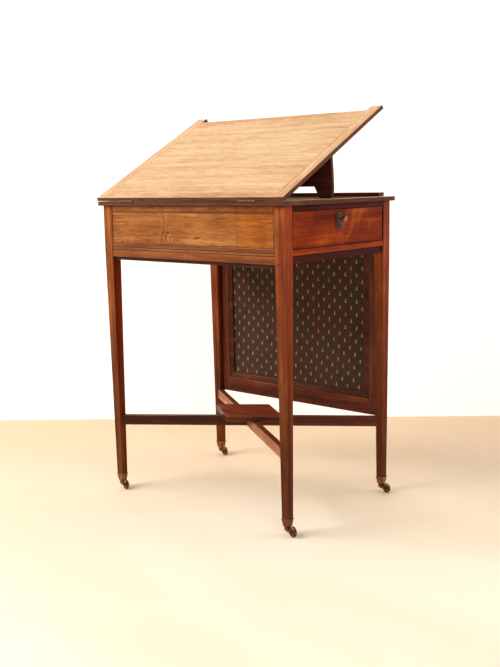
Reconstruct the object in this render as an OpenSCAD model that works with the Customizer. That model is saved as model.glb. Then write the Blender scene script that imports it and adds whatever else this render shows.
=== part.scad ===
/* Reading and sewing table with a hinged slope, a rising screen, a side drawer and a bag slide.
   X runs along the hinged front edge, Y towards the screen at the back, Z up.
   The origin is on the floor under the middle of the case. */

/* [Case] */
// Width over the outer faces of the legs
case_w = 562; // [540:2:600]
// Depth over the outer faces of the legs
case_d = 398; // [396:2:440]
// Height of the case top above the floor
top_z = 720; // [700:2:740]
// Height of the case sides, under the top boards
case_h = 122; // [118:1:130]
// Thickness of the case top boards
top_t = 10; // [10:0.5:12]
// Overhang of the top beyond the legs
overhang = 9.5; // [8:0.5:12]
// Distance of the well's front rim behind the middle of the case
well_front = 12; // [10:1:13]
// Width of the well under the slope
well_w = 524; // [516:2:528]

/* [Legs] */
// Side of the square legs at the case
leg_t = 26; // [25:0.5:28]
// Side of the square legs where they enter the castor caps
leg_foot = 17.5; // [16:0.5:18]
// Height of the top of the castor caps
cap_top = 36; // [34:1:38]

/* [Slope] */
// Angle at which the prop holds the slope
slope_angle = 28.5; // [26:0.5:30]
// Thickness of the slope
slope_t = 9; // [8:0.5:10]
// Width of the front and back bands of the slope
band_w = 36; // [30:1:44]
// Thickness of the stop batten under the slope
batten_t = 4.6; // [4.4:0.1:4.8]

/* [Prop] */
// Angle between the prop and the case top when it stands
prop_angle = 80; // [79:0.5:81]
// Thickness of the prop board
prop_t = 8; // [7:0.5:8]
// Half of the prop's width at its widest
prop_half = 244.5; // [240:0.5:246]
// Width of a foot where it meets the board
foot_w = 51.5; // [48:0.5:58]

/* [Screen] */
// Thickness of the screen's frame
screen_t = 9; // [9:0.5:9.5]
// Height of the screen's lower edge above the floor when it is down
screen_z = 187; // [180:1:200]
// Width of the stiles and of their bead moulding together
stile_w = 44; // [40:1:50]
// Height of the bottom rail
bottom_rail_h = 39; // [34:1:44]
// Width of the bead moulding round the cloth
bead_w = 15; // [12:1:16]

/* [Drawer and bag slide] */
// Height of the drawer front
drawer_h = 80; // [76:1:82]
// Length of the drawer box behind its front
drawer_len = 518; // [480:1:520]
// Width of the knob's backplate
knob_plate_w = 27; // [22:1:30]
// Height of the knob's backplate
knob_plate_h = 39; // [34:1:42]
// Height of the bag slide's frame
bag_h = 15.4; // [14:0.2:15.4]
// Length of the bag slide's frame
bag_len = 478; // [420:1:490]

/* [Stretcher] */
// Height of the top of the X stretcher
stretcher_z = 188; // [180:1:196]
// Depth of the stretcher bars
bar_h = 24; // [20:1:28]
// Width of the stretcher bars
bar_w = 14; // [12:1:16]
// Half length of the platform along X, before its tips are cut
platform_a = 112; // [104:1:124]
// Half length of the platform along Y
platform_b = 79; // [74:1:90]
// Thickness of the platform
platform_t = 13; // [10:1:15]

/* [Castors] */
// Diameter of the castor wheels
wheel_d = 23; // [22:0.5:24]
// Width of the castor wheels
wheel_w = 8; // [7:0.5:9]
// Distance from the swivel axis to the wheel's axle
trail = 21; // [20:0.5:23]
// Direction in which the castors trail
castor_angle = -20; // [-30:1:30]

/* [Hidden] */
$fn = 48;

mahogany = "#7a3b1e";
dark_mahogany = "#4a2014";
honey = "#c89a62";
golden = "#a8652f";
pine = "#b98a58";
brass = "#8a7040";
cloth = "#3c2a20";

// corners of the case as name, side along X, side along Y
CORNERS = [
    ["front_left", -1, -1], ["front_right", 1, -1],
    ["back_left", -1, 1], ["back_right", 1, 1]
];

case_z = top_z - top_t - case_h;
half_w = case_w / 2;
half_d = case_d / 2;
leg_x = half_w - leg_t / 2;
leg_y = half_d - leg_t / 2;
in_x = half_w - leg_t;
in_y = half_d - leg_t;
top_x = half_w + overhang;
top_y = half_d + overhang;
well_x = well_w / 2;
// loose gap between wooden pieces that slide or fold past each other
gap = 0.3;
wall = 12;
face_inset = 1;

// hinge of the slope
knuckle_r = 2.8;
hinge_y = -top_y;
slope_z = top_z + gap;
hinge_z = top_z + gap / 2;
hinge_len = 50;
hinge_x = 189;
leaf_t = 1.2;
leaf_reach = 20;

// screen, which slides just inside the back faces of the legs
groove_clear = 0.3;
groove_depth = 5;
screen_back = half_d - 2.5;
screen_front = screen_back - screen_t;
screen_x = in_x + groove_depth - 1;
cap_half = screen_x;
clamp_in = cap_half + 0.7;
notch_y = screen_front - 1;
cloth_t = 3;
cloth_x = screen_x - stile_w;
stile_in = cloth_x + bead_w;
top_rail_h = 28;
cloth_low = screen_z + bottom_rail_h;
cloth_high = slope_z - top_rail_h;

// drawer and slide levels, from the bottom of the case up
bag_z = case_z + 1.3;
rail_z = bag_z + bag_h + 0.8;
rail_t = 12;
drawer_z = rail_z + rail_t + 0.7;
drawer_top = drawer_z + drawer_h;
drawer_half = in_y - 2.5;
drawer_face = half_w - 1.5;
knob_y = -3.5;
side_t = 9;
side_h = 68;
bottom_t = 5;
bag_face = half_w - 4;
bag_half = in_y - 3.3;
tongue = 2.9;

// well and prop
floor_z = top_z - 13.5;
floor_t = 5;
prop_y = well_front + 6;
prop_z = floor_z + 0.5 + prop_t / 2;
back_board_y = screen_front - 1.2;
back_board_t = 8;
// height of the slope's underside above its hinge axis, and the play over the prop
under = slope_z - hinge_z;
play = 0.2;
fold = prop_angle - slope_angle;
prop_len = ((prop_y - hinge_y) * sin(slope_angle) - (prop_z - hinge_z) * cos(slope_angle)
    - prop_t / 2 * cos(fold) + under - batten_t - play) / sin(fold);
// distance along the slope from its hinge axis to the prop's leading edge
contact_y = prop_y + prop_len * cos(prop_angle) - prop_t / 2 * sin(prop_angle);
contact_z = prop_z + prop_len * sin(prop_angle) + prop_t / 2 * cos(prop_angle);
contact_s = (contact_y - hinge_y) * cos(slope_angle) + (contact_z - hinge_z) * sin(slope_angle);
pin_r = 1.5;
fit = 0.05;

// castors
wheel_r = wheel_d / 2;
cap_bottom = 18;
pintle_r = 2.5;
axle_r = 1.9;

// side of a tapered leg at height z
function leg_side(z) = leg_t - (leg_t - leg_foot) * (case_z - z) / (case_z - cap_top);
// distance of a leg's axis from the middle of the case, seen from above
leg_reach = norm([leg_x, leg_y]);
bar_angle = atan2(leg_y, leg_x);
bar_half = leg_reach - leg_side(stretcher_z) * 0.42;

// square prism that tapers evenly, standing on z = 0
module square_taper(low, high, h) {
    rotate([0, 0, 45])
        cylinder(h = h, d1 = low * sqrt(2), d2 = high * sqrt(2), $fn = 4);
}

// box from one corner to the opposite corner
module block(a, b) {
    translate(a)
        cube([b[0] - a[0], b[1] - a[1], b[2] - a[2]]);
}

// block between x0 and x1 on both signs of Y, or on the one given
module side_block(x0, x1, y0, y1, z0, z1, side) {
    if (side > 0)
        block([x0, y0, z0], [x1, y1, z1]);
    else
        block([x0, -y1, z0], [x1, -y0, z1]);
}

// section of a board of thickness t from a0 to a1, with twin reeds on the marked ends
module reeded_section(a0, a1, t, reed0, reed1) {
    r = t / 4;
    start = a0 + (reed0 ? r : 0);
    stop = a1 - (reed1 ? r : 0);
    translate([start, 0])
        square([stop - start, t]);
    if (reed0)
        for (k = [1, 3])
            translate([start, k * r])
                circle(r);
    if (reed1)
        for (k = [1, 3])
            translate([stop, k * r])
                circle(r);
}

// board on z = 0 with twin reeds on any of its four edges
module reeded_board(x0, x1, y0, y1, t, left, right, front, back) {
    intersection() {
        translate([0, y1, 0])
            rotate([90, 0, 0])
                linear_extrude(y1 - y0)
                    reeded_section(x0, x1, t, left, right);
        translate([x0, 0, 0])
            rotate([90, 0, 90])
                linear_extrude(x1 - x0)
                    reeded_section(y0, y1, t, front, back);
    }
}

// strip along X with a row of half-round reeds on its front face, its back face at y = 0
module reed_strip(length, width, base, reeds) {
    r = width / reeds / 2;
    rotate([90, 0, 90])
        linear_extrude(length)
            union() {
                translate([-base, 0])
                    square([base, width]);
                for (k = [0 : reeds - 1])
                    intersection() {
                        translate([-base, (2 * k + 1) * r])
                            circle(r);
                        translate([-base - r, 0])
                            square([r, width]);
                    }
            }
}

// everything that is drawn with the slope closed, turned up to its reading angle
module raised() {
    translate([0, hinge_y, hinge_z])
        rotate([slope_angle, 0, 0])
            translate([0, -hinge_y, -hinge_z])
                children();
}

// ---- frame ----

module leg(sx, sy) {
    tenon = 14;
    line_depth = 0.7;
    color(mahogany)
    difference() {
        translate([sx * leg_x, sy * leg_y, 0])
            union() {
                translate([-leg_t / 2, -leg_t / 2, case_z])
                    cube([leg_t, leg_t, case_h]);
                translate([0, 0, cap_top])
                    square_taper(leg_foot, leg_t, case_z - cap_top);
                translate([-tenon / 2, -tenon / 2, cap_bottom + 6.2])
                    cube([tenon, tenon, cap_top - cap_bottom - 6.1]);
            }
        // line scribed round the leg at the lower edge of the case
        translate([sx * leg_x, sy * leg_y, case_z + 0.6])
            difference() {
                translate([-leg_t / 2 - 1, -leg_t / 2 - 1, 0])
                    cube([leg_t + 2, leg_t + 2, 1.1]);
                translate([-leg_t / 2 + line_depth, -leg_t / 2 + line_depth, -1])
                    cube([leg_t - 2 * line_depth, leg_t - 2 * line_depth, 4]);
            }
        // socket for the swivel pintle
        translate([sx * leg_x, sy * leg_y, 0])
            cylinder(h = cap_top + 4, r = pintle_r + 0.4);
        // housing for the end of the stretcher
        rotate([0, 0, atan2(sy * leg_y, sx * leg_x)])
            block([0, -bar_w / 2, stretcher_z - bar_h], [bar_half, bar_w / 2, stretcher_z]);
        // groove in which the screen slides
        if (sy > 0)
            translate([sx * (in_x + groove_depth / 2), 0, 0])
                block([-groove_depth / 2, screen_front - groove_clear, screen_z - 0.5],
                    [groove_depth / 2, screen_back + groove_clear, top_z]);
    }
}

module front_frieze() {
    color(golden)
    block([-in_x, -half_d + face_inset, rail_z + rail_t], [in_x, -half_d + wall, top_z - top_t]);
}

module front_rail() {
    groove_r = 0.9;
    lip_h = 8;
    color(mahogany)
    difference() {
        union() {
            block([-in_x, -half_d + face_inset, case_z], [in_x, -half_d + 18, rail_z + rail_t]);
            // set-back lip under the rail
            block([-in_x, -half_d + 6, case_z - lip_h], [in_x, -half_d + 18, case_z + 1]);
        }
        for (z = [rail_z - 0.4, rail_z + 6])
            translate([-in_x - 1, -half_d + face_inset, z])
                rotate([0, 90, 0])
                    cylinder(h = case_w, r = groove_r);
    }
}

module front_beading() {
    r = 1.6;
    z0 = drawer_z;
    z1 = drawer_top;
    x = in_x - 0.4;
    y = -half_d + face_inset;
    color(golden)
    for (z = [z0 + r, z1 - r])
        translate([-x, y, z])
            intersection() {
                rotate([0, 90, 0])
                    cylinder(h = 2 * x, r = r);
                translate([0, -r, -r])
                    cube([2 * x, r, 2 * r]);
            }
    color(golden)
    for (s = [-1, 1])
        translate([s * (x - r), y, z0 + 2 * r])
            intersection() {
                cylinder(h = z1 - z0 - 4 * r, r = r);
                translate([-r, -r, 0])
                    cube([2 * r, r, z1 - z0]);
            }
}

module left_frieze() {
    color(mahogany)
    difference() {
        block([-half_w + face_inset, -in_y, case_z], [-half_w + wall, in_y, top_z - top_t]);
        for (z = [rail_z - 0.4, rail_z + rail_t, drawer_top + 0.4])
            translate([-half_w + face_inset, in_y + 1, z])
                rotate([90, 0, 0])
                    cylinder(h = case_d, r = 0.9);
    }
}

module case_back() {
    color(pine)
    block([-in_x, back_board_y - back_board_t, case_z], [in_x, back_board_y, top_z]);
}

module right_top_rail() {
    color(mahogany)
    block([half_w - wall, -in_y, drawer_top + 0.7], [half_w - face_inset, in_y, top_z - top_t]);
}

module drawer_rail() {
    color(mahogany)
    block([half_w - 18, -in_y, rail_z], [half_w - face_inset, in_y, rail_z + rail_t]);
}

module runner(side) {
    outer = side > 0 ? back_board_y - back_board_t : half_d - 18;
    web = bag_half + gap;
    color(pine)
    difference() {
        union() {
            side_block(-half_w + wall, half_w - 18, in_y - 18, in_y, rail_z, rail_z + rail_t, side);
            side_block(-in_x, in_x, web, outer, case_z, rail_z + rail_t, side);
        }
        // groove for the tongue of the bag slide
        side_block(-half_w, half_w, web - 1, in_y, bag_z + 5, bag_z + 10.4, side);
    }
}

module top_front() {
    color(mahogany)
    difference() {
        translate([0, 0, top_z - top_t])
            reeded_board(-top_x, top_x, -top_y, well_front, top_t, true, true, true, false);
        for (s = [-1, 1])
            block([s * hinge_x - hinge_len / 2 - 0.1, -top_y - 1, top_z - leaf_t],
                [s * hinge_x + hinge_len / 2 + 0.1, hinge_y + leaf_reach + 0.1, top_z + 1]);
        knuckle_room();
    }
}

module top_side(side) {
    x0 = side > 0 ? well_x : -top_x;
    x1 = side > 0 ? top_x : -well_x;
    color(mahogany)
    translate([0, 0, top_z - top_t])
        reeded_board(x0, x1, well_front, top_y, top_t, side < 0, side > 0, false, true);
}

module well_floor() {
    rear = back_board_y - back_board_t;
    color(pine)
    difference() {
        block([-half_w + wall, well_front - 14, floor_z - floor_t], [half_w - wall, rear, top_z - top_t]);
        block([-well_x, well_front, floor_z], [well_x, rear + 1, top_z]);
        // notches round the back legs
        for (s = [-1, 1])
            block([s > 0 ? in_x - gap : -half_w, in_y - gap, floor_z - floor_t - 1],
                [s > 0 ? half_w : -in_x + gap, rear + 1, top_z]);
    }
}

module stretcher_bar(angle, z0, z1) {
    rotate([0, 0, angle])
        block([-bar_half, -bar_w / 2, z0], [bar_half, bar_w / 2, z1]);
}

module stretcher_over() {
    mid = stretcher_z - bar_h / 2;
    color(mahogany)
    difference() {
        stretcher_bar(bar_angle, stretcher_z - bar_h, stretcher_z);
        stretcher_bar(-bar_angle, stretcher_z - bar_h - 1, mid);
    }
}

module stretcher_under() {
    mid = stretcher_z - bar_h / 2;
    color(mahogany)
    difference() {
        stretcher_bar(-bar_angle, stretcher_z - bar_h, stretcher_z);
        stretcher_bar(bar_angle, mid, stretcher_z + 1);
    }
}

module platform() {
    tip = platform_a * 0.92;
    color(mahogany)
    translate([0, 0, stretcher_z])
        linear_extrude(platform_t)
            intersection() {
                polygon([[-platform_a, 0], [0, -platform_b], [platform_a, 0], [0, platform_b]]);
                square([2 * tip, 2 * platform_b - 3], center = true);
            }
}

module castor_cap(sx, sy) {
    collar = leg_foot + 2.6;
    color(brass)
    translate([sx * leg_x, sy * leg_y, 0])
        difference() {
            union() {
                translate([0, 0, cap_bottom])
                    square_taper(14.2, collar - 0.8, cap_top - cap_bottom);
                translate([-collar / 2, -collar / 2, cap_top - 2])
                    cube([collar, collar, 2]);
            }
            translate([-7.2, -7.2, cap_bottom + 6])
                cube([14.4, 14.4, cap_top]);
            cylinder(h = cap_top, r = pintle_r + fit);
        }
}

// ---- slope ----

module slope_board() {
    color(honey)
    raised()
        block([-clamp_in, -top_y + band_w, slope_z], [clamp_in, notch_y - band_w, slope_z + slope_t]);
}

module slope_band_front() {
    color(honey)
    raised()
        difference() {
            translate([0, 0, slope_z])
                reeded_board(-clamp_in, clamp_in, -top_y, -top_y + band_w, slope_t,
                    false, false, true, false);
            for (s = [-1, 1])
                block([s * hinge_x - hinge_len / 2 - 0.1, -top_y - 1, slope_z - 1],
                    [s * hinge_x + hinge_len / 2 + 0.1, hinge_y + leaf_reach + 0.1, slope_z + leaf_t]);
            knuckle_room();
        }
}

module slope_band_back() {
    color(honey)
    raised()
        block([-clamp_in, notch_y - band_w, slope_z], [clamp_in, notch_y, slope_z + slope_t]);
}

module slope_clamp(side) {
    x0 = side > 0 ? clamp_in : -top_x;
    x1 = side > 0 ? top_x : -clamp_in;
    color(honey)
    raised()
        translate([0, 0, slope_z])
            reeded_board(x0, x1, -top_y, top_y, slope_t, side < 0, side > 0, true, true);
}

module slope_batten() {
    half = prop_half - 24;
    color(dark_mahogany)
    raised()
        block([-half, hinge_y + contact_s - 14, slope_z - batten_t],
            [half, hinge_y + contact_s + 0.8, slope_z]);
}

// hollow along both hinge axes that clears the knuckles
module knuckle_room() {
    for (s = [-1, 1])
        translate([s * hinge_x - hinge_len / 2 - 0.1, hinge_y, hinge_z])
            rotate([0, 90, 0])
                cylinder(h = hinge_len + 0.2, r = knuckle_r + 0.3);
}

// knuckles of one leaf, which takes every second fifth of the hinge from the given one
module knuckles(first, plate_z) {
    step = hinge_len / 5;
    difference() {
        union() {
            for (k = [first : 2 : 4]) {
                translate([-hinge_len / 2 + k * step + 0.1, hinge_y, hinge_z])
                    rotate([0, 90, 0])
                        cylinder(h = step - 0.2, r = knuckle_r);
                block([-hinge_len / 2 + k * step + 0.1, hinge_y, plate_z],
                    [-hinge_len / 2 + (k + 1) * step - 0.1, hinge_y + knuckle_r + 1, plate_z + leaf_t]);
            }
            block([-hinge_len / 2, hinge_y + knuckle_r + 0.4, plate_z],
                [hinge_len / 2, hinge_y + leaf_reach, plate_z + leaf_t]);
        }
        translate([-hinge_len, hinge_y, hinge_z])
            rotate([0, 90, 0])
                cylinder(h = 2 * hinge_len, r = 1.25 + fit);
    }
}

module slope_hinge_leaves() {
    color(brass)
    raised()
        for (s = [-1, 1])
            translate([s * hinge_x, 0, 0])
                knuckles(1, slope_z);
}

module case_hinges() {
    color(brass)
    for (s = [-1, 1])
        translate([s * hinge_x, 0, 0]) {
            knuckles(0, top_z - leaf_t);
            translate([-hinge_len / 2, hinge_y, hinge_z])
                rotate([0, 90, 0])
                    cylinder(h = hinge_len, r = 1.25);
        }
}

// ---- prop ----

foot_out = prop_half - 1.5;
foot_in = prop_half - 30;
// height of the straight foot beside its brackets, of the arch and of the widest place
foot_low = 6;
foot_rise = 36.6;
belly = 30;

// half width of the prop at distance a from its pivots
function prop_edge(a) = a < foot_low
    ? foot_out
    : a < belly
        ? prop_half - 1.5 * pow((belly - a) / (belly - foot_low), 2)
        : prop_half - 20 * pow((a - belly) / (prop_len - belly), 1.1);

module prop_board() {
    steps = 24;
    outer = [for (k = [0 : steps]) let (a = prop_len * k / steps) [prop_edge(a), a]];
    other = [for (k = [steps : -1 : 0]) [-outer[k][0], outer[k][1]]];
    color(dark_mahogany)
    translate([0, prop_y, prop_z])
        rotate([prop_angle, 0, 0])
            difference() {
                union() {
                    translate([0, 0, -prop_t / 2])
                        linear_extrude(prop_t)
                            polygon(concat(outer, other, [
                                [-foot_in, 0], [-foot_in, foot_low + 2], [9 - foot_in, foot_low + 12],
                                [foot_w - prop_half, foot_rise], [prop_half - foot_w, foot_rise],
                                [foot_in - 9, foot_low + 12], [foot_in, foot_low + 2], [foot_in, 0]
                            ]));
                    for (s = [-1, 1])
                        translate([s > 0 ? foot_in : -foot_out, 0, 0])
                            rotate([0, 90, 0])
                                cylinder(h = foot_out - foot_in, r = prop_t / 2);
                }
                translate([-prop_half - 1, 0, 0])
                    rotate([0, 90, 0])
                        cylinder(h = 2 * prop_half + 2, r = pin_r + fit);
            }
}

module prop_bracket(x, dir) {
    lug_r = 3.4;
    lug_t = 2.4;
    x0 = dir > 0 ? x : x - lug_t;
    flange = dir > 0 ? x : x - 10;
    difference() {
        union() {
            translate([x0, prop_y, prop_z])
                rotate([0, 90, 0])
                    cylinder(h = lug_t, r = lug_r);
            block([x0, prop_y - lug_r, floor_z], [x0 + lug_t, prop_y + lug_r, prop_z]);
            block([flange, prop_y - lug_r, floor_z], [flange + 10, prop_y + lug_r, floor_z + 1.2]);
        }
        translate([x0 - 1, prop_y, prop_z])
            rotate([0, 90, 0])
                cylinder(h = lug_t + 2, r = pin_r + fit);
    }
}

module prop_brackets() {
    color(brass)
    for (s = [-1, 1]) {
        prop_bracket(s * (foot_out + 0.5), s);
        prop_bracket(s * (foot_in - 0.5), -s);
    }
}

module prop_pins() {
    length = foot_out - foot_in + 7;
    color(brass)
    for (s = [-1, 1])
        translate([s * (foot_out + foot_in) / 2 - length / 2, prop_y, prop_z])
            rotate([0, 90, 0])
                cylinder(h = length, r = pin_r);
}

// ---- rising screen ----

module screen_cap() {
    color(dark_mahogany)
    translate([0, 0, slope_z])
        reeded_board(-cap_half, cap_half, screen_front, top_y, slope_t, false, false, false, true);
}

module screen_top_rail() {
    color(mahogany)
    block([-stile_in, screen_front, cloth_high], [stile_in, screen_back, slope_z]);
}

module screen_bottom_rail() {
    color(mahogany)
    block([-stile_in, screen_front, screen_z], [stile_in, screen_back, cloth_low]);
}

module screen_stile(side) {
    x0 = side > 0 ? stile_in : -screen_x;
    x1 = side > 0 ? screen_x : -stile_in;
    color(mahogany)
    block([x0, screen_front, screen_z], [x1, screen_back, slope_z]);
}

// mitred strip of three reeds, centred on X, its outer edge on z = 0
module bead_side(length) {
    intersection() {
        translate([-length / 2, 0, 0])
            reed_strip(length, bead_w, 1.5, 3);
        rotate([90, 0, 0])
            translate([0, 0, -1])
                linear_extrude(10)
                    polygon([
                        [-length / 2, 0], [length / 2, 0],
                        [length / 2 - bead_w, bead_w], [bead_w - length / 2, bead_w]
                    ]);
    }
}

module screen_beading() {
    y = screen_front + 4.5;
    mid = (cloth_low + cloth_high) / 2;
    high = cloth_high - cloth_low;
    color(mahogany) {
        translate([0, y, cloth_low])
            bead_side(2 * stile_in);
        translate([0, y, cloth_high])
            rotate([0, 180, 0])
                bead_side(2 * stile_in);
        translate([stile_in, y, mid])
            rotate([0, -90, 0])
                bead_side(high);
        translate([-stile_in, y, mid])
            rotate([0, 90, 0])
                bead_side(high);
    }
}

module screen_cloth() {
    y = screen_front + 4.5;
    color(cloth)
    block([-stile_in, y, cloth_low], [stile_in, y + cloth_t, cloth_high]);
}

// ---- drawer ----

module drawer_front() {
    color(mahogany)
    block([drawer_face - wall + 1, -drawer_half, drawer_z], [drawer_face, drawer_half, drawer_top]);
}

drawer_back = drawer_face - wall + 1 - drawer_len;

module drawer_side(side) {
    color(pine)
    difference() {
        side_block(drawer_back, drawer_face - wall + 1, drawer_half - side_t, drawer_half,
            drawer_z, drawer_z + side_h, side);
        side_block(drawer_back - 1, drawer_face, drawer_half - side_t - 1, drawer_half - side_t + 3,
            drawer_z + 4, drawer_z + 4 + bottom_t, side);
    }
}

module drawer_end() {
    y = drawer_half - side_t;
    color(pine)
    block([drawer_back, -y, drawer_z + 4 + bottom_t], [drawer_back + side_t, y, drawer_z + side_h - 4]);
}

module drawer_bottom() {
    y = drawer_half - side_t + 3;
    color(pine)
    block([drawer_back, -y, drawer_z + 4], [drawer_face - wall + 1, y, drawer_z + 4 + bottom_t]);
}

// upright plate with round ends
module knob_plate(w, h, t) {
    linear_extrude(t)
        union() {
            square([h - w, w], center = true);
            for (k = [-1, 1])
                translate([k * (h - w) / 2, 0])
                    circle(w / 2);
        }
}

module drawer_knob() {
    plate_t = 1.2;
    neck_r = 2.6;
    head_r = 6.5;
    head_at = 15;
    head_up = 4.5;
    color(brass)
    translate([drawer_face, knob_y, drawer_z + drawer_h * 0.67])
        rotate([0, 90, 0])
            union() {
                knob_plate(knob_plate_w, knob_plate_h, plate_t);
                knob_plate(knob_plate_w - 5, knob_plate_h - 5, plate_t + 0.9);
                translate([-head_up, 0, 0])
                    rotate_extrude()
                        intersection() {
                            union() {
                                square([neck_r, head_at]);
                                translate([neck_r, plate_t + 1])
                                    circle(1.8);
                                intersection() {
                                    translate([0, head_at])
                                        circle(head_r);
                                    translate([0, head_at - head_r * 0.5])
                                        square([head_r, head_r * 1.15]);
                                }
                            }
                            square([knob_plate_h, head_at + head_r]);
                        }
            }
}

// ---- work-bag slide ----

bag_back = bag_face - bag_len;
bag_side_t = 13;

module bag_front() {
    color(dark_mahogany)
    block([bag_face - wall, -bag_half + 1, bag_z], [bag_face, bag_half - 1, bag_z + bag_h]);
}

module bag_side(side) {
    color(mahogany) {
        side_block(bag_back, bag_face - wall, bag_half - bag_side_t, bag_half,
            bag_z, bag_z + bag_h, side);
        side_block(bag_back, in_x - 6, bag_half - 1, bag_half + tongue,
            bag_z + 5.4, bag_z + 10, side);
    }
}

module bag_end() {
    y = bag_half - bag_side_t;
    color(mahogany)
    block([bag_back, -y, bag_z], [bag_back + wall, y, bag_z + bag_h]);
}

// ---- castors ----

module castor(sx, sy) {
    translate([sx * leg_x, sy * leg_y, 0])
        rotate([0, 0, castor_angle])
            children();
}

module castor_horn(sx, sy) {
    cheek_in = wheel_w / 2 + 0.4;
    cheek_t = 2.2;
    outer = cheek_in + cheek_t;
    plate_z = cap_bottom - 0.3;
    neck = trail - wheel_r - 1;
    color(brass)
    castor(sx, sy)
        union() {
            translate([0, 0, plate_z - 2.5])
                cylinder(h = 2.5, r = 6.4);
            translate([0, 0, plate_z - 1])
                cylinder(h = cap_top - plate_z + 1, r = pintle_r);
            block([-3.6, 0.5 - outer, 9.5], [neck, outer - 0.5, plate_z - 1.2]);
            for (s = [-1, 1])
                translate([0, s > 0 ? outer : -cheek_in, 0])
                    rotate([90, 0, 0]) {
                        linear_extrude(cheek_t)
                            polygon([
                                [-4.2, plate_z - 1.8], [-4.2, 10.4], [2, 8],
                                [trail, wheel_r - 3], [trail, wheel_r + 3], [neck - 1, plate_z - 1.8]
                            ]);
                        translate([trail, wheel_r, 0])
                            cylinder(h = cheek_t, r = 3.8);
                    }
            translate([trail, 0, wheel_r])
                rotate([90, 0, 0])
                    cylinder(h = 2 * outer + 0.6, r = axle_r, center = true);
            for (s = [-1, 1])
                translate([trail, s * (outer + 0.45), wheel_r])
                    rotate([90, 0, 0])
                        cylinder(h = 1.1, r = 2.8, center = true);
        }
}

module castor_wheel(sx, sy) {
    edge = 1.2;
    color(brass)
    castor(sx, sy)
        translate([trail, 0, wheel_r])
            rotate([90, 0, 0])
                difference() {
                    union() {
                        cylinder(h = wheel_w - 2 * edge, r = wheel_r, center = true);
                        for (s = [0, 1])
                            mirror([0, 0, s])
                                translate([0, 0, wheel_w / 2 - edge])
                                    cylinder(h = edge, r1 = wheel_r, r2 = wheel_r - edge);
                        cylinder(h = wheel_w + 0.5, r = 4.2, center = true);
                    }
                    cylinder(h = wheel_w + 2, r = axle_r + fit, center = true);
                }
}

// ---- assembly ----

for (c = CORNERS) {
    leg(c[1], c[2]);
    castor_cap(c[1], c[2]);
    castor_horn(c[1], c[2]);
    castor_wheel(c[1], c[2]);
}
front_frieze();
front_rail();
front_beading();
left_frieze();
case_back();
right_top_rail();
drawer_rail();
runner(-1);  // runner_front
runner(1);  // runner_back
top_front();
top_side(-1);  // top_left
top_side(1);  // top_right
well_floor();
stretcher_over();
stretcher_under();
platform();
slope_board();
slope_band_front();
slope_band_back();
slope_clamp(-1);  // slope_clamp_left
slope_clamp(1);  // slope_clamp_right
slope_batten();
slope_hinge_leaves();
case_hinges();
prop_board();
prop_brackets();
prop_pins();
screen_cap();
screen_top_rail();
screen_bottom_rail();
screen_stile(-1);  // screen_stile_left
screen_stile(1);  // screen_stile_right
screen_beading();
screen_cloth();
drawer_front();
drawer_side(-1);  // drawer_side_front
drawer_side(1);  // drawer_side_back
drawer_end();
drawer_bottom();
drawer_knob();
bag_front();
bag_side(-1);  // bag_side_front
bag_side(1);  // bag_side_back
bag_end();
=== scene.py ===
"""A Regency mahogany sewing table: camera, light and looks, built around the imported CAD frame."""

import math
import random

import bpy
from mathutils import Matrix, Vector


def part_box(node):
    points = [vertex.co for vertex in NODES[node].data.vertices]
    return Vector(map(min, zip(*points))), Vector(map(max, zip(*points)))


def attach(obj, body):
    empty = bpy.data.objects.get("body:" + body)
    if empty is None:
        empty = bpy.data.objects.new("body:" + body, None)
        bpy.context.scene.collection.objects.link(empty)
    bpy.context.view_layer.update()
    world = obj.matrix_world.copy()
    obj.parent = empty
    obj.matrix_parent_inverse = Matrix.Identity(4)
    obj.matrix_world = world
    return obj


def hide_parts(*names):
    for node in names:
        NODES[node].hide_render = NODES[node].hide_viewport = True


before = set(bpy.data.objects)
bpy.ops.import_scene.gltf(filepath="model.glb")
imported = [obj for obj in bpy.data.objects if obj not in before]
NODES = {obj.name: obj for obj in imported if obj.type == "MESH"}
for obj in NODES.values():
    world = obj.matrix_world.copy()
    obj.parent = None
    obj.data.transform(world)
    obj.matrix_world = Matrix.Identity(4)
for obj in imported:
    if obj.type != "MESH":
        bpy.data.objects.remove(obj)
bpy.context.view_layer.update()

# ---- camera -------------------------------------------------------------------------------------

EYE = (1.50132, -1.72247, 0.76284)
YAW, PITCH, ROLL = (math.radians(a) for a in (40.9, 9.18, -1.15))
LENS = 51.04


def make_camera():
    flat = math.cos(PITCH)
    look = Vector((-math.sin(YAW) * flat, math.cos(YAW) * flat, -math.sin(PITCH)))
    level = Vector((math.cos(YAW), math.sin(YAW), 0))
    upright = level.cross(look)
    right = math.cos(ROLL) * level + math.sin(ROLL) * upright
    up = math.cos(ROLL) * upright - math.sin(ROLL) * level
    data = bpy.data.cameras.new("camera")
    data.lens = LENS
    data.sensor_width = 36
    camera = bpy.data.objects.new("camera", data)
    camera.matrix_world = Matrix((
        (right.x, up.x, -look.x, EYE[0]),
        (right.y, up.y, -look.y, EYE[1]),
        (right.z, up.z, -look.z, EYE[2]),
        (0, 0, 0, 1),
    ))
    bpy.context.scene.collection.objects.link(camera)
    bpy.context.scene.camera = camera


make_camera()

# ---- small node helpers -------------------------------------------------------------------------


def linear(code):
    """A colour written as six hex digits in sRGB, as linear RGBA."""
    parts = [int(code[i:i + 2], 16) / 255 for i in (0, 2, 4)]
    return tuple(c / 12.92 if c <= 0.04045 else ((c + 0.055) / 1.055) ** 2.4 for c in parts) + (1.0,)


TONE_STOPS = (0.12, 0.5, 0.88)
BEVEL_SAMPLES = 4


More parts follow.
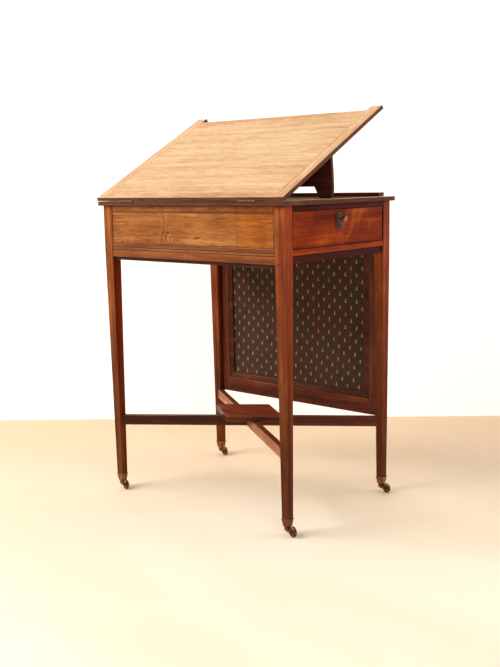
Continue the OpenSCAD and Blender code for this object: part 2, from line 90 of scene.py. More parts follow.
class Net:
    """Makes and links shader nodes. An input is a value or another node's output socket."""

    def __init__(self, tree):
        self.tree = tree

    def add(self, kind, inputs=(), **settings):
        node = self.tree.nodes.new("ShaderNode" + kind)
        for name, value in settings.items():
            setattr(node, name, value)
        for key, value in dict(inputs).items():
            self.put(node.inputs[key], value)
        return node

    def put(self, socket, value):
        if isinstance(value, bpy.types.NodeSocket):
            self.tree.links.new(value, socket)
        else:
            socket.default_value = value

    def math(self, operation, a, b=0.0):
        return self.add("Math", {0: a, 1: b}, operation=operation).outputs[0]

    def mul(self, a, b):
        return self.math("MULTIPLY", a, b)

    def plus(self, a, b):
        return self.math("ADD", a, b)

    def less(self, a, b):
        return self.math("SUBTRACT", a, b)

    def ramp(self, value, low, high, start=0.0, end=1.0, smooth=True):
        """value from low..high to start..end, clamped, with soft ends unless smooth is off."""
        kind = "SMOOTHSTEP" if smooth else "LINEAR"
        node = self.add("MapRange", {
            "Value": value, "From Min": low, "From Max": high, "To Min": start, "To Max": end,
        }, interpolation_type=kind)
        return node.outputs["Result"]

    def scaled(self, vector, scale):
        return self.add("VectorMath", {0: vector, 1: scale}, operation="MULTIPLY").outputs[0]

    def shifted(self, vector, offset):
        return self.add("VectorMath", {0: vector, 1: offset}, operation="ADD").outputs[0]

    def noise(self, vector, scale, detail=2.0, roughness=0.5, distortion=0.0):
        node = self.add("TexNoise", {
            "Vector": self.scaled(vector, scale), "Scale": 1.0, "Detail": detail,
            "Roughness": roughness, "Distortion": distortion,
        })
        return node.outputs[0]

    def mix(self, factor, a, b, blend="MIX"):
        node = self.add("Mix", data_type="RGBA", blend_type=blend)
        colour_a, colour_b = [s for s in node.inputs if s.type == "RGBA"][:2]
        self.put(node.inputs[0], factor)
        self.put(colour_a, a)
        self.put(colour_b, b)
        return [s for s in node.outputs if s.type == "RGBA"][0]

    def times(self, colour, tint):
        """A colour multiplied by a constant tint."""
        return self.mix(1.0, colour, (*tint, 1.0), "MULTIPLY")

    def dot(self, a, b):
        return self.add("VectorMath", {0: a, 1: b}, operation="DOT_PRODUCT").outputs["Value"]

    def away(self, value, middle):
        """How far value is from middle, either way."""
        return self.math("ABSOLUTE", self.less(value, middle))

    def edge_bend(self, radius, low, high):
        """0 on flat faces, rising to 1 along edges and corners, from a bevelled normal."""
        soft = self.add("Bevel", {"Radius": radius}, samples=BEVEL_SAMPLES).outputs[0]
        facing = self.add("NewGeometry").outputs["Normal"]
        return self.ramp(self.less(1.0, self.dot(soft, facing)), low, high)

    def split(self, vector):
        return self.add("SeparateXYZ", {0: vector}).outputs

    def join(self, x, y, z):
        return self.add("CombineXYZ", {0: x, 1: y, 2: z}).outputs[0]

    def tones(self, value, codes):
        """Colour ramp through a dark, a main and a light hex colour."""
        node = self.add("ValToRGB", {0: value})
        elements = node.color_ramp.elements
        elements.new(0.5)
        for element, position, code in zip(elements, TONE_STOPS, codes):
            element.position = position
            element.color = linear(code)
        return node.outputs[0]


def new_material(name):
    """An empty node material, as (material, net, Principled shader)."""
    material = bpy.data.materials.new(name)
    material.use_nodes = True
    material.node_tree.nodes.clear()
    net = Net(material.node_tree)
    shader = net.add("BsdfPrincipled")
    out = net.add("OutputMaterial")
    net.tree.links.new(shader.outputs[0], out.inputs["Surface"])
    return material, net, shader


# ---- wood ---------------------------------------------------------------------------------------

TILT = math.radians(28.5)
ALONG = {
    "x": (Vector((1, 0, 0)), Vector((0, 1, 0))),
    "y": (Vector((0, 1, 0)), Vector((1, 0, 0))),
    "z": (Vector((0, 0, 1)), Vector((1, 0, 0))),
    "slope_x": (Vector((1, 0, 0)), Vector((0, math.cos(TILT), math.sin(TILT)))),
    "slope_y": (Vector((0, math.cos(TILT), math.sin(TILT))), Vector((1, 0, 0))),
}
# where the middle of a leg stands from the origin; the stretcher's bars run from leg to leg
LEG_X, LEG_Y = 0.268, 0.186
BAR = math.atan2(LEG_Y, LEG_X)
for side, sign in (("over", 1), ("under", -1)):
    run = Vector((math.cos(BAR), sign * math.sin(BAR), 0))
    ALONG["bar_" + side] = (run, Vector((-run.y, run.x, 0)))

SLOPE_UP = (0, -math.sin(TILT), math.cos(TILT))
HINGE_Y, HINGE_Z = -0.2085, 0.72015
# height of the crease between the twin reeds, along the way up of the slope and of the case top, where a
# painted shade line runs
SLOPE_CREASE = -HINGE_Y * math.sin(TILT) + HINGE_Z * math.cos(TILT) + 0.00465
TOP_CREASE = 0.715
REEDS = ("341610", "5c2a1a", "885034")
SLOPE_REEDS = ("401a10", "683020", "905038")
PLATFORM_EDGE = ("2c1008", "54220f", "78381c")
# painted light: the lit tan colour of the stretcher bars' side faces
BAR_LIT_SIDE = ("562818", "985834", "c88a64")

# Each finish: dark streak, main tone, light tone, pore colour, how strong each part of the grain is,
# roughness, then the edge colour and how strongly it shows: real wear with a painted highlight where it
# is light, a dark edge line where it is dark.
# A finish with up and side shows the side tones on every face that does not look that way up; with
# crease, a painted shade line runs along the crease between the twin reeds.
FINISH = {
    "case": dict(tones=("50220f", "82421d", "a4622e"), pore="260d05", streak=1.0, mottle=0.8,
                 rough=0.38, edge="b07444", edge_mix=0.3),
    # the case top's upward face is pale: its own faded colour, lightened further as a painted highlight
    # for the strip beside the slope
    "top": dict(tones=("c09070", "e4bc9c", "f6d8bc"), pore="8c5a38", streak=0.9, mottle=0.7,
                rough=0.5, edge="a06a42", edge_mix=0.3, gloss=0.12,
                up=(0, 0, 1), side=REEDS, crease=TOP_CREASE),
    "shade": dict(tones=("280803", "420d04", "5e1c0a"), pore="140604", streak=0.9, mottle=0.6,
                  rough=0.42, edge="6a3420", edge_mix=0.3, gloss=0.08),
    "leg": dict(tones=("5c240e", "8c421c", "b0642e"), pore="260d05", streak=1.0, mottle=0.9,
                rough=0.36, edge="b07444", edge_mix=0.4, gloss=0.1),
    # painted light and shade: the bar's top faces dark, its side faces lit tan, its arrises light
    "bar": dict(tones=("341408", "5c2812", "80441f"), pore="160703", streak=1.0, mottle=0.6,
                rough=0.36, edge="c08450", edge_mix=0.6, up=(0, 0, 1), side=BAR_LIT_SIDE),
    # painted shade: the bar timber darkened for the bar whose seen faces lie in shade
    "shaded_bar": dict(tones=("30100a", "542210", "78401e"), pore="160703", streak=1.0, mottle=0.6,
                    rough=0.36, edge="a8683a", edge_mix=0.55),
    "platform": dict(tones=("441608", "803516", "a8582a"), pore="1c0804", streak=1.0, mottle=0.9,
                     rough=0.34, edge="d0a070", edge_mix=0.45, up=(0, 0, 1), side=PLATFORM_EDGE),
    "figured": dict(tones=("6a3613", "9c5c27", "c08343"), pore="3c1c08", streak=0.7, mottle=0.9,
                    ripple=0.85, fleck=0.7, rough=0.34, edge="5a2c14", edge_mix=0.4),
    "faded": dict(tones=("a8784f", "d4aa79", "ebcdaa"), pore="7c4e26", streak=0.55, mottle=0.4,
                  fleck=0.7, rough=0.5, edge="e0b884", edge_mix=0.3,
                  up=SLOPE_UP, side=SLOPE_REEDS, crease=SLOPE_CREASE),
    "band": dict(tones=("a26f41", "cf9e6f", "eac6a2"), pore="744626", streak=0.55, mottle=0.6,
                 fleck=0.8, rough=0.5, edge="d8a878", edge_mix=0.3,
                 up=SLOPE_UP, side=SLOPE_REEDS, crease=SLOPE_CREASE),
    "dark": dict(tones=("2c0e07", "52200f", "7c3e20"), pore="180703", streak=1.0, mottle=0.7,
                 rough=0.36, edge="8a5230", edge_mix=0.35),
    "rail": dict(tones=("34120a", "642a14", "94542c"), pore="180703", streak=1.0, mottle=0.9,
                 rough=0.36, edge="9a6038", edge_mix=0.4),
    "prop": dict(tones=("34140e", "542720", "703a30"), pore="140503", streak=0.8, mottle=0.5,
                 rough=0.5, edge="5a2c1c", edge_mix=0.3),
    "red": dict(tones=("5c1a06", "8c320a", "be5a1a"), pore="300e04", streak=0.8, mottle=1.4,
                ripple=0.12, rough=0.36, edge="3c1208", edge_mix=0.5, gloss=0.04),
    "ruddy": dict(tones=("541404", "8c3008", "b04a14"), pore="260d05", streak=1.0, mottle=0.8,
                  rough=0.38, edge="b86434", edge_mix=0.35, gloss=0.06),
    "lining": dict(tones=("8c5a34", "a87446", "bc8c5c"), pore="5c3820", streak=0.8, mottle=0.4,
                   rough=0.55, edge="7a5030", edge_mix=0.3),
    "pine": dict(tones=("94683c", "b4884e", "c8a066"), pore="6c4424", streak=1.0, mottle=0.4,
                 rough=0.6, edge="7a5430", edge_mix=0.3),
}


GLOSS = 0.16
ARRIS_WEAR_AND_HIGHLIGHT, ARRIS_ROUND = 0.0028, 0.0009
# how far the painted corner shade, with old soiling, reaches into corners and creases
DIRT_AND_SHADE_REACH = 0.006


def grain_space(net, along, across, seed):
    """Object coordinates, and the same turned so that X runs with the grain and moved by seed."""
    place = net.add("TexCoord").outputs["Object"]
    through = along.cross(across)
    parts = [net.dot(place, axis) for axis in (along, across, through)]
    spot = random.Random(seed)
    return place, net.shifted(net.join(*parts), [spot.uniform(-9, 9) for _ in range(3)])


def wood(name, finish, run, seed, marks=None):
    """Old polished mahogany, or another timber, with its grain along one of the ALONG directions."""
    look = FINISH[finish]
    material, net, shader = new_material(name)
    place, board = grain_space(net, *ALONG[run], seed)

    slow = net.scaled(board, (3, 12, 12))
    wander = net.add("TexNoise", {"Vector": slow, "Scale": 1.0, "Detail": 3.0})
    drift = net.scaled(net.shifted(wander.outputs["Color"], (-0.5,) * 3), (0.02, 0.016, 0.016))
    fibre = net.shifted(board, drift)
    streak = net.noise(fibre, (1.8, 62, 62), detail=5, roughness=0.6)
    strand = net.noise(fibre, (9, 340, 340), detail=3, roughness=0.6)
    mottle = net.noise(board, (7, 11, 11), detail=3, roughness=0.55, distortion=0.6)
    pores = net.ramp(net.noise(fibre, (70, 1100, 1100), detail=1.5), 0.56, 0.70)

    tone = net.plus(0.5, net.mul(net.less(streak, 0.5), 1.5 * look["streak"]))
    tone = net.plus(tone, net.mul(net.less(strand, 0.5), 0.7 * look["streak"]))
    tone = net.plus(tone, net.mul(net.less(mottle, 0.5), 0.9 * look["mottle"]))
    if "fleck" in look:
        fleck = net.noise(fibre, (30, 330, 330), detail=2)
        tone = net.plus(tone, net.mul(net.less(fleck, 0.5), look["fleck"]))
    if "ripple" in look:
        lean = net.mul(net.noise(board, (16, 26, 26), detail=2), 0.07)
        slant = net.mul(net.split(board)[1], 0.5)
        leaning = net.shifted(board, net.join(net.plus(lean, slant), 0, 0))
        curl = net.noise(leaning, (170, 24, 24), detail=2)
        where = net.ramp(net.noise(board, (7, 12, 12)), 0.42, 0.62)
        tone = net.plus(tone, net.mul(net.mul(net.less(curl, 0.5), where), 1.7 * look["ripple"]))
    colour = net.tones(tone, look["tones"])
    if "side" in look:
        normal = net.add("TexCoord").outputs["Normal"]
        level = net.dot(normal, look["up"])
        side = net.tones(tone, look["side"])
        # painted shade: a near-black line along the crease between the twin reeds
        if "crease" in look:
            off = net.away(net.dot(place, look["up"]), look["crease"])
            side = net.mix(net.ramp(off, 0.0003, 0.0016, 0.85, 0.0), side, linear("140805"))
        colour = net.mix(net.ramp(level, 0.93, 0.995), side, colour)
    colour = net.mix(net.mul(pores, 0.45), colour, linear(look["pore"]))
    # painted shade with old soiling: darker in corners, creases and between parts, where the ambient
    # occlusion finds them closed in
    open_sky = net.add("AmbientOcclusion", {"Distance": DIRT_AND_SHADE_REACH}, samples=6).outputs["AO"]
    dirt_and_shade = net.mul(net.ramp(open_sky, 0.45, 0.93, 1.0, 0.0), net.ramp(mottle, 0.3, 0.6, 0.7, 1.0))
    colour = net.mix(dirt_and_shade, colour, linear(look["pore"]))
    if marks:
        colour = marks(net, place, board, colour)

    # edge colour: real wear and dark edge lines, with a painted highlight on the lit arrises
    arris = net.edge_bend(ARRIS_WEAR_AND_HIGHLIGHT, 0.01, 0.22)
    patchy = net.ramp(net.noise(board, (16, 40, 40), detail=3), 0.3, 0.62, 0.35, 1.0)
    edge_wear_and_highlight = net.mul(net.mul(arris, patchy), look["edge_mix"])
    colour = net.mix(edge_wear_and_highlight, colour, linear(look["edge"]))
    shader.inputs["Specular IOR Level"].default_value = look.get("gloss", GLOSS)

    polish = net.noise(board, (6, 14, 14), detail=4, roughness=0.6)
    rough = net.ramp(polish, 0.3, 0.7, look["rough"] - 0.07, look["rough"] + 0.12)
    rough = net.plus(rough, net.mul(pores, 0.12))
    height = net.less(net.mul(strand, 0.5), net.mul(pores, 0.8))
    bump = net.add("Bump", {"Height": height, "Strength": 0.35, "Distance": 0.00025})
    round_edge = net.add("Bevel", {"Radius": ARRIS_ROUND}, samples=BEVEL_SAMPLES)
    net.put(bump.inputs["Normal"], round_edge.outputs[0])
    net.put(shader.inputs["Base Color"], colour)
    net.put(shader.inputs["Roughness"], rough)
    net.put(shader.inputs["Normal"], bump.outputs[0])
    return material


# places on the front frieze and rail, in metres in the CAD frame
JOINT_X = 0.147
KNOT_X, KNOT_Z = 0.030, 0.639
KNOT_HALF_W, KNOT_HALF_H, KNOT_LEAN = 0.011, 0.0024, 0.12
PANEL_EDGES_Z = (0.6220, 0.6944)
MARGIN_X, MARGIN_LINE_X = (0.2500, 0.2512), 0.2508
GROOVES_Z = (0.6051, 0.6115)
LIP_Z = (0.5872, 0.5882)


def frieze_marks(net, place, board, colour):
    """The front board's veneer joint, more orange right of it, its knot, a darker margin, painted shade
    lines along the bead and fine shakes.
    """
    x, _, z = net.split(place)
    ragged = net.plus(x, net.mul(net.noise(board, (4, 60, 60)), 0.006))
    right = net.ramp(ragged, JOINT_X, JOINT_X + 0.006)
    colour = net.mix(net.mul(right, 0.75), colour, net.times(colour, linear("ffe061")[:3]))
    line = net.less(1.0, net.ramp(net.away(x, JOINT_X), 0.0004, 0.0022))
    colour = net.mix(net.mul(line, 0.35), colour, linear("5c3014"))
    from_knot = net.less(x, KNOT_X)
    dx = net.mul(from_knot, 1 / KNOT_HALF_W)
    dz = net.mul(net.less(net.less(z, KNOT_Z), net.mul(from_knot, KNOT_LEAN)), 1 / KNOT_HALF_H)
    far = net.math("SQRT", net.plus(net.mul(dx, dx), net.mul(dz, dz)))
    far = net.plus(far, net.mul(net.less(net.noise(place, (90, 90, 90)), 0.5), 0.9))
    colour = net.mix(net.ramp(far, 0.55, 1.5, 0.75, 0.0), colour, linear("2c140a"))
    # painted shade: dark lines where the bead stands off the board, along its top and bottom
    for edge in PANEL_EDGES_Z:
        off = net.away(z, edge)
        colour = net.mix(net.ramp(off, 0.0003, 0.0014, 0.65, 0.0), colour, linear("381a0c"))
    from_middle = net.math("ABSOLUTE", x)
    margin = net.ramp(from_middle, *MARGIN_X)
    colour = net.mix(margin, colour, net.times(colour, (0.72, 0.6, 0.62)))
    # painted shade: a dark line beside the bead at each end
    off = net.away(from_middle, MARGIN_LINE_X)
    colour = net.mix(net.ramp(off, 0.0004, 0.0018, 0.8, 0.0), colour, linear("2c1208"))
    shake = net.noise(place, (3.2, 40, 120), detail=2)
    thin = net.less(1.0, net.ramp(net.away(shake, 0.5), 0.004, 0.016))
    some = net.ramp(net.noise(place, (11, 11, 30)), 0.54, 0.62)
    return net.mix(net.mul(net.mul(thin, some), 0.5), colour, linear("4a2410"))


def leg_marks(net, place, board, colour):
    """Legs darker towards the floor, on the inward faces and on the fronts below the apron, all painted
    shade; redder on the right faces, a painted warm light; the front left one paler.
    """
    x, y, height = net.split(place)
    # painted shade: the legs darker towards the floor
    cloud = net.mul(net.less(net.noise(board, (6, 20, 20), detail=3), 0.5), 0.16)
    painted_falloff = net.ramp(net.plus(height, cloud), 0.10, 0.68, 0.42, 1.0)
    colour = net.mix(1.0, colour, net.join(painted_falloff, painted_falloff, painted_falloff), "MULTIPLY")
    normal = net.add("TexCoord").outputs["Normal"]
    to_x, to_y, _ = net.split(normal)
    outward = net.dot(normal, place)
    # painted shade on the inward-facing faces of the legs, high up
    inner_shade = net.mul(net.ramp(outward, -0.05, 0.05, 1.0, 0.0), net.ramp(height, 0.28, 0.5))
    inner_shade = net.mul(inner_shade, net.ramp(to_x, -0.2, 0.8, 0.4, 1.15))
    colour = net.mix(inner_shade, colour, net.times(colour, (0.68, 0.52, 0.58)))
    # painted light: a warm red cast on the faces that look to the right
    to_right = net.ramp(to_x, 0.5, 0.9)
    colour = net.mix(to_right, colour, net.times(colour, (1.14, 0.75, 0.5)))
    front = net.ramp(to_y, -0.9, -0.5, 1.0, 0.0)
    # painted shade on the front faces below the apron
    under_apron_shade = net.mul(front, net.ramp(height, 0.55, 0.63, 1.0, 0.0))
    colour = net.mix(under_apron_shade, colour, net.times(colour, (0.9, 0.86, 0.8)))
    left = net.mul(net.ramp(x, -0.1, 0.0, 1.0, 0.0), net.ramp(y, -0.1, 0.0, 1.0, 0.0))
    left = net.mul(net.mul(front, left), net.ramp(height, 0.2, 0.35))
    return net.mix(left, colour, net.times(colour, (1.1, 1.4, 1.55)))


def rail_marks(net, place, board, colour):
    """Painted shade, with some old soiling, in the two grooves of the rail, and painted shade on its
    set-back lip.
    """
    z = net.split(place)[2]
    # painted shade, with some old soiling, in the grooves
    for groove in GROOVES_Z:
        off = net.away(z, groove)
        colour = net.mix(net.ramp(off, 0.0004, 0.0015, 0.8, 0.0), colour, linear("2a1008"))
    # painted shade on the set-back lip under the rail
    lip = net.ramp(z, *LIP_Z, 1.0, 0.0)
    return net.mix(net.mul(lip, 0.85), colour, linear("200c08"))


def top_marks(net, place, board, colour):
    """Painted shade along the hinges, on the part of the case top that the slope always covers."""
    x, y, z = net.split(place)
    # painted shade on the case top just behind the hinges
    hinge_shade = net.mul(net.ramp(y, -0.175, -0.140, 1.0, 0.0), net.ramp(x, 0.200, 0.262, 1.0, 0.0))
    hinge_shade = net.mul(hinge_shade, net.ramp(z, 0.7188, 0.7198))
    return net.mix(net.mul(hinge_shade, 0.93), colour, linear("32180f"))


def drawer_marks(net, place, board, colour):
    """Flame figure on the right half of the drawer front, and a painted shadow along its edges, in the
    gap round it.
    """
    _, y, z = net.split(place)
    low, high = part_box("drawer_front")
    to_side = net.math("MINIMUM", net.less(y, low.y), net.less(high.y, y))
    to_rail = net.math("MINIMUM", net.less(z, low.z), net.less(high.z, z))
    to_edge = net.math("MINIMUM", to_side, to_rail)
    # painted shadow: a dark line round the edges of the drawer front
    gap_shadow = net.ramp(to_edge, 0.0010, 0.0028, 0.85, 0.0)
    bend = net.mul(net.less(net.noise(board, (14, 14, 14), detail=2), 0.5), 0.05)
    rising = net.plus(net.less(y, net.mul(z, 0.55)), bend)
    flame = net.noise(net.join(0.0, rising, net.mul(z, 0.3)), (36, 36, 36))
    where = net.mul(net.ramp(y, -0.01, 0.05), net.ramp(y, 0.09, 0.15, 1.0, 0.2))
    lit = net.mul(net.ramp(flame, 0.5, 0.68), where)
    colour = net.mix(net.mul(lit, 0.35), colour, linear("c86c2c"))
    return net.mix(gap_shadow, colour, linear("1c0804"))


# ---- metal --------------------------------------------------------------------------------------

BRASS_WEAR, BRASS_ROUND = 0.0016, 0.0005


def old_brass(name, bright, dull, patina, cover, seed, proud=None):
    """Aged brass: rubbed bright along its edges and past x = proud, brown in the hollows, with spots."""
    material, net, shader = new_material(name)
    place = net.add("TexCoord").outputs["Object"]
    x = net.split(place)[0]
    place = net.shifted(place, [random.Random(seed).uniform(-9, 9) for _ in range(3)])
    cloud = net.noise(place, (130, 130, 130), detail=4, roughness=0.6)
    fine = net.noise(place, (900, 900, 900), detail=2)
    metal = net.mix(net.ramp(cloud, 0.35, 0.65), linear(dull), linear(bright))
    crust = net.ramp(net.plus(net.mul(cloud, 0.7), net.mul(fine, 0.3)), 0.62 - cover, 0.78 - cover)
    rubbed = net.edge_bend(BRASS_WEAR, 0.01, 0.2)
    crust = net.mul(crust, net.less(1.0, net.mul(rubbed, 0.6)))
    if proud:
        crust = net.mul(crust, net.ramp(x, proud, proud + 0.003, 1.0, 0.2))
    net.put(shader.inputs["Base Color"], net.mix(crust, metal, linear(patina)))
    net.put(shader.inputs["Metallic"], net.ramp(crust, 0.0, 1.0, 1.0, 0.35))
    dull_spots = net.plus(net.mul(crust, 0.6), net.mul(cloud, 0.4))
    net.put(shader.inputs["Roughness"], net.ramp(dull_spots, 0.1, 0.9, 0.28, 0.62))
    relief = net.plus(net.mul(fine, 0.5), cloud)
    bump = net.add("Bump", {"Height": relief, "Strength": 0.3, "Distance": 0.0003})
    round_edge = net.add("Bevel", {"Radius": BRASS_ROUND}, samples=BEVEL_SAMPLES)
    net.put(bump.inputs["Normal"], round_edge.outputs[0])
    net.put(shader.inputs["Normal"], bump.outputs[0])
    return material


# ---- which board has which timber ---------------------------------------------------------------

CORNERS = ("front_left", "front_right", "back_left", "back_right")
BOARDS = {
    "leg": {"z": ["leg_" + c for c in CORNERS]},
    "case": {
        "x": ["front_rail", "front_beading"],
        "y": ["left_frieze"],
    },
    "top": {"x": ["top_front"], "y": ["top_left", "top_right"]},
    "shade": {"y": ["right_top_rail", "bag_front"]},
    "platform": {"x": ["platform"]},
    "bar": {"bar_under": ["stretcher_under"]},
    "shaded_bar": {"bar_over": ["stretcher_over"]},
    "figured": {"x": ["front_frieze"]},
    "faded": {"slope_x": ["slope_board"]},
    "band": {
        "slope_x": ["slope_band_front", "slope_band_back"],
        "slope_y": ["slope_clamp_left", "slope_clamp_right"],
    },
    "dark": {
        "x": ["screen_cap", "screen_top_rail", "screen_beading", "bag_side_front", "bag_side_back"],
        "y": ["bag_end"],
        "z": ["screen_stile_left", "screen_stile_right"],
    },
    "rail": {"x": ["screen_bottom_rail"]},
    "prop": {"x": ["prop_board"], "slope_x": ["slope_batten"]},
    "red": {"y": ["drawer_front"]},
    "ruddy": {"y": ["drawer_rail"]},
    "lining": {"x": ["drawer_side_front", "drawer_side_back"], "y": ["drawer_end", "drawer_bottom"]},
    "pine": {"x": ["case_back", "runner_front", "runner_back", "well_floor"]},
}
MARKS = {"front_frieze": frieze_marks, "front_rail": rail_marks, "drawer_front": drawer_marks}
MARKS.update({"leg_" + corner: leg_marks for corner in CORNERS})
MARKS.update({"top_front": top_marks, "top_left": top_marks})


def dress(node, material):
    for slot in NODES[node].material_slots:
        slot.material = material


def dress_wood():
    seed = 0
    for finish, runs in BOARDS.items():
        for run, names in runs.items():
            for node in names:
                seed += 1
                dress(node, wood("wood_" + node, finish, run, seed, MARKS.get(node)))


def dress_metal():
    castor = old_brass("castor_brass", "86583a", "54301e", "28140c", 0.12, 91)
    cap = old_brass("cap_brass", "a87a4c", "6a442a", "38221a", 0.06, 92)
    # painted shade: a darker copy of the cap brass for the front right castor
    shaded_cap = old_brass("dim_cap_brass", "8a5e3e", "52321e", "2c1a12", 0.1, 92)
    fitting = old_brass("fitting_brass", "9c6c44", "5c3420", "2c140c", 0.08, 93)
    hinge = old_brass("hinge_brass", "6c5c44", "40301f", "241a12", 0.14, 94)
    pull = old_brass("pull_brass", "c09884", "6c3020", "260c08", 0.24, 95, proud=0.289)
    for corner in CORNERS:
        dress("castor_cap_" + corner, shaded_cap if corner == "front_right" else cap)
        dress("castor_horn_" + corner, castor)
        dress("castor_wheel_" + corner, castor)
    for node in ("slope_hinge_leaves", "case_hinges"):
        dress(node, hinge)
    for node in ("prop_brackets", "prop_pins"):
        dress(node, fitting)
    dress("drawer_knob", pull)


dress_wood()
dress_metal()

# ---- the sprigged cloth of the fire screen ------------------------------------------------------

# the pattern's pitch across and up, and the middle of one sprig in x and z
SPRIG_X, SPRIG_Z = 0.0334, 0.0328
SPRIG_AT = (0.190, 0.5614)
# below this height the columns lean by this slope; the cloth is pulled out of line by up to PULL
SKEW_FROM, SKEW = 0.400, 0.064
PULL = 0.006
THREAD = 0.0011
# petals and leaves of a sprig as (across, up, half width, half height) in metres
DABS = [
    (0, 0.0020, 0.0019, 0.0034),
    (0, -0.0010, 0.0014, 0.0032),
    (0, -0.0034, 0.0027, 0.0010),
    (-0.0018, -0.0026, 0.0013, 0.0013),
    (0.0018, -0.0026, 0.0013, 0.0013),
]


def sprig_cloth():
    """A dark ground woven with small sprigs in half-drop rows, a few of them pinker."""
    material, net, shader = new_material("sprig_cloth")
    place = net.add("TexCoord").outputs["Object"]
    x, _, z = net.split(place)
    sway, sag = (net.noise(place, (scale,) * 3, detail=1) for scale in (6, 5))
    x = net.plus(x, net.mul(net.less(sway, 0.5), PULL))
    z = net.plus(z, net.mul(net.less(sag, 0.5), PULL))
    x = net.plus(x, net.mul(net.math("MAXIMUM", net.less(SKEW_FROM, z), 0.0), SKEW))
    row = net.mul(net.less(z, SPRIG_AT[1]), 2 / SPRIG_Z)
    row_index = net.math("ROUND", row)
    odd = net.math("PINGPONG", row_index, 1.0)
    column = net.plus(net.mul(net.less(x, SPRIG_AT[0]), 1 / SPRIG_X), net.mul(odd, 0.5))
    column_index = net.math("ROUND", column)
    across = net.mul(net.less(column, column_index), SPRIG_X)
    upward = net.mul(net.less(row, row_index), SPRIG_Z / 2)
    sprig = 0.0
    for middle, height, half_w, half_h in DABS:
        dx = net.mul(net.less(across, middle), 1 / half_w)
        dz = net.mul(net.less(upward, height), 1 / half_h)
        near = net.ramp(net.plus(net.mul(dx, dx), net.mul(dz, dz)), 0.45, 1.25, 1.0, 0.0)
        sprig = net.math("MAXIMUM", near, sprig)
    cell = net.join(column_index, row_index, 0)
    chance = net.add("TexWhiteNoise", {0: cell}, noise_dimensions="3D").outputs["Value"]
    thread = net.mix(net.ramp(chance, 0.55, 0.8), linear("a09086"), linear("98776e"))
    thread = net.mix(net.mul(net.noise(place, (160, 160, 160)), 0.5), thread, linear("84705f"))
    warp = net.math("SINE", net.mul(x, 2 * math.pi / THREAD))
    weft = net.math("SINE", net.mul(z, 2 * math.pi / THREAD))
    weave = net.mul(warp, weft)
    cloud = net.noise(place, (7, 7, 5), detail=3)
    ground = net.mix(net.ramp(cloud, 0.3, 0.7), linear("402c20"), linear("4e372a"))
    patch = net.noise(place, (26, 26, 22), detail=3)
    ground = net.mix(net.ramp(patch, 0.5, 0.66, 0.0, 0.6), ground, linear("582e24"))
    ground = net.mix(net.ramp(patch, 0.34, 0.5, 0.55, 0.0), ground, linear("403824"))
    ground = net.mix(net.ramp(weave, -1, 1, 0.0, 0.28), ground, linear("1e1510"))
    net.put(shader.inputs["Base Color"], net.mix(net.mul(sprig, 0.85), ground, thread))
    net.put(shader.inputs["Roughness"], net.ramp(net.noise(place, (60, 60, 60)), 0.3, 0.7, 0.7, 0.9))
    shader.inputs["Specular IOR Level"].default_value = 0.12
    relief = net.plus(net.mul(weave, 0.5), sprig)
    bump = net.add("Bump", {"Height": relief, "Strength": 0.5, "Distance": 0.0003})
    net.put(shader.inputs["Normal"], bump.outputs[0])
    return material


def make_cloth():
    """A stretched sheet in the screen's frame, with the slight waves of old cloth, closed and thin."""
    low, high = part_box("screen_cloth")
    inset, set_back, thick = 0.002, 0.0011, 0.0009
    columns, rows = 66, 66
    width, height = high.x - low.x - 2 * inset, high.z - low.z - 2 * inset
    verts, faces = [], []
    for side in (0, 1):
        for j in range(rows + 1):
            for i in range(columns + 1):
                s, t = i / columns, j / rows
                x = low.x + inset + s * width
                z = low.z + inset + t * height
                edge = min(1.0, 8 * min(s, 1 - s, t, 1 - t))
                wave = 0.0007 * math.sin(9 * s + 2.2 * t) + 0.0006 * math.sin(5 * t - 3 * s + 1)
                y = low.y + set_back + edge * wave + side * thick
                verts.append((x, y, z))
    step = columns + 1
    back = step * (rows + 1)
    for j in range(rows):
        for i in range(columns):
            a = j * step + i
            faces.append((a, a + 1, a + step + 1, a + step))
            faces.append((back + a, back + a + step, back + a + step + 1, back + a + 1))
    rim = list(range(columns))
    rim += [columns + j * step for j in range(rows)]
    rim += [rows * step + i for i in range(columns, 0, -1)]
    rim += [j * step for j in range(rows, 0, -1)]
    for k, a in enumerate(rim):
        b = rim[(k + 1) % len(rim)]
        faces.append((b, a, back + a, back + b))
    mesh = bpy.data.meshes.new("screen_silk")
    mesh.from_pydata(verts, [], faces)
    mesh.update()
    for polygon in mesh.polygons:
        polygon.use_smooth = True
    cloth = bpy.data.objects.new("screen_silk", mesh)
    bpy.context.scene.collection.objects.link(cloth)
    mesh.materials.append(sprig_cloth())
    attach(cloth, "screen")
    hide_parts("screen_cloth")


make_cloth()

# ---- floor, backdrop and light ------------------------------------------------------------------

# the wall's distance behind the origin, the way it runs and the way it lies from the origin
WALL_AT = 0.712
WALL_RUN = Vector((0.784, 0.620, 0))
WALL_FACE = Vector((-0.620, 0.784, 0))
FAR = 12
WALL_HIGH = Vector((0, 0, 8))


def plane(name, corners, material):
    mesh = bpy.data.meshes.new(name)
    mesh.from_pydata(corners, [], [tuple(range(len(corners)))])
    mesh.materials.append(material)
    obj = bpy.data.objects.new(name, mesh)
    bpy.context.scene.collection.objects.link(obj)


def see_through_from_behind(net, shader):
    """Shows the surface only from its front, so that it hides nothing when the camera is behind it."""
    clear = net.add("BsdfTransparent")
    side = net.add("NewGeometry").outputs["Backfacing"]
    both = net.add("MixShader", {0: side, 1: shader.outputs[0], 2: clear.outputs[0]})
    out = [n for n in net.tree.nodes if n.type == "OUTPUT_MATERIAL"][0]
    net.tree.links.new(both.outputs[0], out.inputs["Surface"])


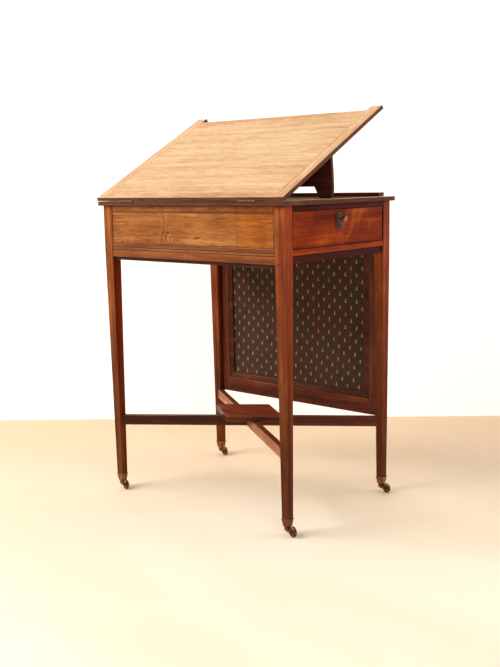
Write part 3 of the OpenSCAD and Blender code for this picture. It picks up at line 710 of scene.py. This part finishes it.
def floor_material():
    material, net, shader = new_material("pale_floor")
    place = net.add("TexCoord").outputs["Object"]
    cloud = net.noise(place, (0.9, 2.2, 1), detail=3, roughness=0.5)
    colour = net.mix(net.ramp(cloud, 0.3, 0.7), linear("f1dec2"), linear("f8ebd4"))
    far = net.ramp(net.dot(place, WALL_FACE), WALL_AT - 1.3, WALL_AT, 0.0, 0.75)
    net.put(shader.inputs["Base Color"], net.mix(far, colour, linear("ddb890")))
    net.put(shader.inputs["Roughness"], net.ramp(cloud, 0.3, 0.7, 0.55, 0.7))
    shader.inputs["Specular IOR Level"].default_value = 0.2
    see_through_from_behind(net, shader)
    return material


def wall_material():
    material, net, shader = new_material("white_wall")
    shader.inputs["Base Color"].default_value = (0.9, 0.9, 0.89, 1)
    shader.inputs["Roughness"].default_value = 0.9
    shader.inputs["Emission Color"].default_value = (1, 1, 0.985, 1)
    shader.inputs["Emission Strength"].default_value = 0.45
    see_through_from_behind(net, shader)
    return material


def make_stage():
    corners = [(-FAR, -FAR, 0), (FAR, -FAR, 0), (FAR, FAR, 0), (-FAR, FAR, 0)]
    plane("floor", corners, floor_material())
    foot = WALL_FACE * WALL_AT
    left, right = foot - WALL_RUN * FAR, foot + WALL_RUN * FAR
    plane("wall", [left, right, right + WALL_HIGH, left + WALL_HIGH], wall_material())


def area_light(name, place, aim, size, power, colour=(1, 1, 1)):
    data = bpy.data.lights.new(name, "AREA")
    data.shape = "RECTANGLE"
    data.size, data.size_y = size
    data.energy = power
    data.color = colour
    light = bpy.data.objects.new(name, data)
    light.location = place
    light.rotation_mode = "QUATERNION"
    light.rotation_quaternion = (Vector(aim) - Vector(place)).to_track_quat("-Z", "Y")
    bpy.context.scene.collection.objects.link(light)


def make_light():
    area_light("key", (-2.6, -2.4, 3.0), (0, 0, 0.5), (3.0, 2.2), 205, (1, 0.985, 0.96))
    area_light("fill", (2.6, -1.6, 1.7), (0, 0, 0.5), (1.6, 1.6), 21, (1, 0.98, 0.95))
    area_light("rim", (1.9, 1.5, 2.3), (0.2, 0, 0.6), (1.6, 1.2), 18, (1, 0.97, 0.94))
    world = bpy.data.worlds.new("studio")
    bpy.context.scene.world = world
    world.use_nodes = True
    net = Net(world.node_tree)
    net.tree.nodes.clear()
    seen = net.add("LightPath").outputs["Is Camera Ray"]
    strength = net.ramp(seen, 0, 1, 0.3, 1.0, smooth=False)
    sky = net.add("Background", {"Color": (1, 1, 1, 1), "Strength": strength})
    out = net.add("OutputWorld")
    net.tree.links.new(sky.outputs[0], out.inputs["Surface"])
    bpy.context.scene.view_settings.view_transform = "Standard"


make_stage()
make_light()
